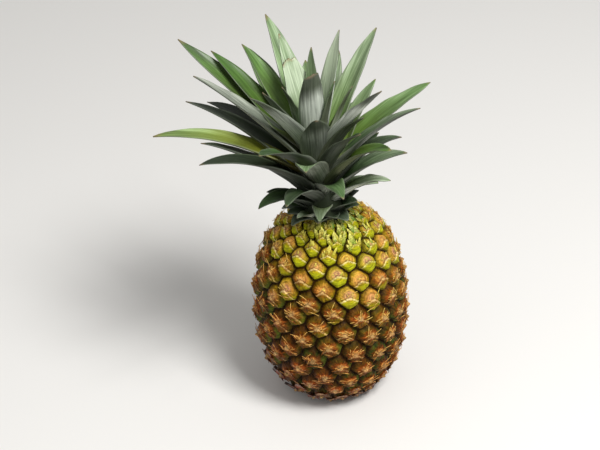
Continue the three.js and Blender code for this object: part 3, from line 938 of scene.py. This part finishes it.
# in rindMasks' columns; the bloom lies in streaks and clouds, on the inner face heavier towards the edges and
# the tip, on the outer face heavier along the middle, where it is partly a painted highlight, and stopping
# short of the tip
leafMasks = {
    "both": {
        "deep": ("cloudy", 0.35, 0.7, 0, 0.8),
        "yellowEnd": ("share", 0.3, 0.85, 1, 0.2),  # a yellowed leaf is still green towards its tip
        "bloomStreak": ("veins", 0.3, 0.7, 0.55, 1),
        "bloomCloud": ("cloudy", 0.35, 0.65, 1.2, 0.6),
        "rootAge": ("age", 0.3, 0.75, 0, 0.85),
        "streak": ("veins", 0.3, 0.7, 0.72, 1.2),
        "margin": ("edge", 0.9, 1, 0, 0.22),
        "dryTip": ("raggedShare", 1.02, 1.07, 0, 0.8),
    },
    "inside": {
        "bloomAcross": ("edge", 0.4, 1, 0.8, 1.3),
        "bloomStart": ("share", 0.25, 0.75, 0.2, 1),
        "bloomEnd": ("share", 0.9, 1, 1, 0.6),
        "root": ("share", 0.05, 0.3, 1, 0),
    },
    "outside": {
        # heavier along the middle of the outer face: pale bloom, and partly a painted highlight
        "bloomAcross": ("edge", 0.4, 1, 1.15, 0.6),
        "bloomStart": ("share", 0.25, 0.75, 1, 1),
        "bloomEnd": ("share", 0.55, 0.85, 1, 0.05),
        "root": ("share", 0.05, 0.55, 1, 0),
    },
}
softLeafMasks = ("bloomEnd", "root")
leafRoughness = {"inside": 0.4, "outside": 0.55}


def leafMaterial(face):
    colours = {name: hexColour(code) for name, code in leafColours[face].items()}
    material, tree = newMaterial("pineappleLeaf" + face.capitalize())
    blade, grow, tint = [
        addNode(tree, "Attribute", attribute_name=name).outputs["Vector"]
        for name in ("blade", "grow", "tint")
    ]
    share, age, edge = addNode(tree, "SeparateXYZ", [grow]).outputs
    yellow, bloom, dark = addNode(tree, "SeparateXYZ", [tint]).outputs
    # veins 0.9 mm apart, drawn out along the blade
    stretched = addNode(tree, "Mapping", {0: blade, "Scale": (1.1, 0.03, 1)})
    veins = addNode(tree, "TexNoise", {"Vector": stretched, "Scale": 1, "Detail": 2})
    cloud = addNode(tree, "Mapping", {0: blade, "Scale": (0.12, 0.03, 1)})
    cloudy = addNode(tree, "TexNoise", {"Vector": cloud, "Scale": 1, "Detail": 4})
    raggedShare = addNode(tree, "Math", [cloudy, 0.12, share], operation="MULTIPLY_ADD")

    values = {
        "share": share, "age": age, "edge": edge, "veins": veins, "cloudy": cloudy,
        "raggedShare": raggedShare,
    }
    mask = {}
    for name, (follows, *ends) in {**leafMasks["both"], **leafMasks[face]}.items():
        mask[name] = addNode(tree, "MapRange", [values[follows], *ends])
        if name in softLeafMasks:
            mask[name].interpolation_type = "SMOOTHSTEP"

    # the deep green of the clouds, with each leaf's darkness added as painted shade
    deepToneAndShade = addNode(tree, "Math", [mask["deep"], dark], operation="ADD", use_clamp=True)
    # the grey-brown of age, dark enough to be partly painted shade
    old = addNode(tree, "Math", [yellow, -1], operation="MULTIPLY", use_clamp=True)
    bloomColour = paintOver(tree, colours["bloom"], [(old, hexColour(greyBloom))])
    bloomShares = [mask["bloom" + part] for part in ("Start", "End", "Streak", "Cloud", "Across")]
    root = paintOver(tree, colours["base"], [(yellow, hexColour(yellowRoot))])
    colour = paintOver(tree, colours["fresh"], [
        (deepToneAndShade, colours["deep"]),
        (yellow, mask["yellowEnd"], colours["yellow"]),
        (old, colours["old"]),
        (bloom, *bloomShares, bloomColour),
        (mask["rootAge"], mask["root"], root),
    ])
    colour = addNode(tree, "Mix", {0: 1, 6: colour, 7: mask["streak"]},
                     data_type="RGBA", blend_type="MULTIPLY")
    # thin pale margin, and dry brown at the very tip
    colour = paintOver(tree, colour, [
        (mask["margin"], colours["margin"]),
        (mask["dryTip"], colours["dryTip"]),
    ])
    bump = addNode(tree, "Bump", {"Strength": 0.35, "Distance": 0.4 * mm, "Height": veins})
    leaf = addNode(tree, "BsdfPrincipled", {
        "Base Color": colour, "Normal": bump, "Roughness": leafRoughness[face], "IOR": 1.45,
    })
    addNode(tree, "OutputMaterial", [leaf])
    return material


stalkShape = {"radius": 13.2, "depth": 9, "rim": 0.8, "hollow": 0.6, "ridges": 0.25, "sides": 96, "cuts": 5}


def buildStalk(material):
    # the cut end, slightly sunken between its rim and its middle
    s = stalkShape
    bm = spinProfile([
        (0, s["hollow"] * 0.4), (s["radius"] * 0.55, s["hollow"]), (s["radius"] - s["rim"], 0.1),
        (s["radius"], s["rim"]), (s["radius"], s["depth"]), (0, s["depth"]),
    ], s["sides"], s["cuts"])
    for vert in bm.verts:
        if vert.co.z < s["depth"] / 2:
            vert.co.z = max(0, vert.co.z + s["ridges"] * noise.noise(vert.co * 0.9))
    finishPiece(bm, "stalk_cut", [material], "stalk_stub")


# Cut stalk: pale woody pith dotted with darker fibre ends about 0.7 mm apart, browned and dry at the rim.
pithStops = [(0.3, "#8A6A44"), (0.5, "#B79A6A"), (0.7, "#CDB587")]
stalkRim = {"colour": "#4E3826", "from": 10 * mm, "to": 13.5 * mm, "share": 0.85}


def stalkMaterial():
    material, tree = newMaterial("driedStalkEnd")
    where = addNode(tree, "TexCoord").outputs["Object"]
    fibres = addNode(tree, "TexVoronoi", {"Vector": where, "Scale": 1400})
    stain = addNode(tree, "TexNoise", {"Vector": where, "Scale": 160, "Detail": 4})
    pith = setRamp(addNode(tree, "ValToRGB", [stain]), pithStops)
    dots = addNode(tree, "MapRange", [fibres, 0.1, 0.35, 0.45, 1])
    colour = addNode(tree, "Mix", {0: 1, 6: pith, 7: dots}, data_type="RGBA", blend_type="MULTIPLY")
    away = addNode(tree, "VectorMath", [where, (1, 1, 0)], operation="MULTIPLY")
    away = addNode(tree, "VectorMath", [away], operation="LENGTH")
    rim = addNode(tree, "MapRange", [away, stalkRim["from"], stalkRim["to"], 0, stalkRim["share"]])
    colour = paintOver(tree, colour, [(rim, hexColour(stalkRim["colour"]))])
    bump = addNode(tree, "Bump", {"Strength": 0.5, "Distance": 0.3 * mm, "Height": fibres})
    wood = addNode(tree, "BsdfPrincipled", {
        "Base Color": colour, "Roughness": 0.8, "Normal": bump, "IOR": 1.45,
    })
    addNode(tree, "OutputMaterial", [wood])
    return material


studio = {
    "floorSize": 6, "floorColour": "#E9E7E3", "skyStrength": 0.4,
    "aim": (0, 0, 0.15),  # of both lights, in metres
    "lights": {
        "keyLight": {"place": (0.62, -0.72, 1.6), "size": 0.6, "watts": 33},
        "fillLight": {"place": (-1.4, -0.7, 0.8), "size": 1.2, "watts": 1.5},
    },
}


def buildStage():
    bm = bmesh.new()
    bmesh.ops.create_grid(bm, x_segments=1, y_segments=1, size=studio["floorSize"])
    mesh = bpy.data.meshes.new("floor")
    bm.to_mesh(mesh)
    bm.free()
    floor = bpy.data.objects.new("floor", mesh)
    bpy.context.scene.collection.objects.link(floor)
    material, tree = newMaterial("paleFloor")
    colour = hexColour(studio["floorColour"])
    paint = addNode(tree, "BsdfPrincipled", {"Base Color": colour, "Roughness": 0.8})
    addNode(tree, "OutputMaterial", [paint])
    mesh.materials.append(material)

    world = bpy.data.worlds.new("softStudio")
    world.use_nodes = True
    sky = world.node_tree.nodes["Background"]
    sky.inputs["Color"].default_value = (1, 1, 1, 1)
    sky.inputs["Strength"].default_value = studio["skyStrength"]
    bpy.context.scene.world = world


def addLight(name, place, size, watts):
    light = bpy.data.lights.new(name, "AREA")
    light.size = size
    light.energy = watts
    lamp = bpy.data.objects.new(name, light)
    lamp.location = place
    lamp.rotation_euler = (Vector(studio["aim"]) - Vector(place)).to_track_quat("-Z", "Y").to_euler()
    bpy.context.scene.collection.objects.link(lamp)


view = {
    "lens": 100, "sensor": 36,
    "target": (-0.022, 0, 0.158), "distance": 1.34,  # metres
    "elevation": math.radians(35),
    "roll": math.radians(3),  # so that the fruit leans a little
}


def buildCamera():
    cam = bpy.data.cameras.new("camera")
    cam.lens = view["lens"]
    cam.sensor_width = view["sensor"]
    camera = bpy.data.objects.new("camera", cam)
    target = Vector(view["target"])
    away = Vector((0, -math.cos(view["elevation"]), math.sin(view["elevation"])))
    camera.location = target + view["distance"] * away
    aim = (target - camera.location).to_track_quat("-Z", "Y")
    camera.rotation_euler = (aim @ Quaternion((0, 0, 1), -view["roll"])).to_euler()
    bpy.context.scene.collection.objects.link(camera)
    bpy.context.scene.camera = camera


bpy.context.scene.view_settings.view_transform = "Standard"  # plain sRGB, so hex colours show as they are
print("fruit skin")
buildSkin(rindMaterial())
print("bracts")
buildBracts(bractMaterial())
print("crown")
insideLeaf = leafMaterial("inside")
outsideLeaf = leafMaterial("outside")
buildCrown([outsideLeaf, insideLeaf])
buildStem(outsideLeaf)
print("stalk")
buildStalk(stalkMaterial())
print("stage")
buildStage()
for name, light in studio["lights"].items():
    addLight(name, **light)
buildCamera()
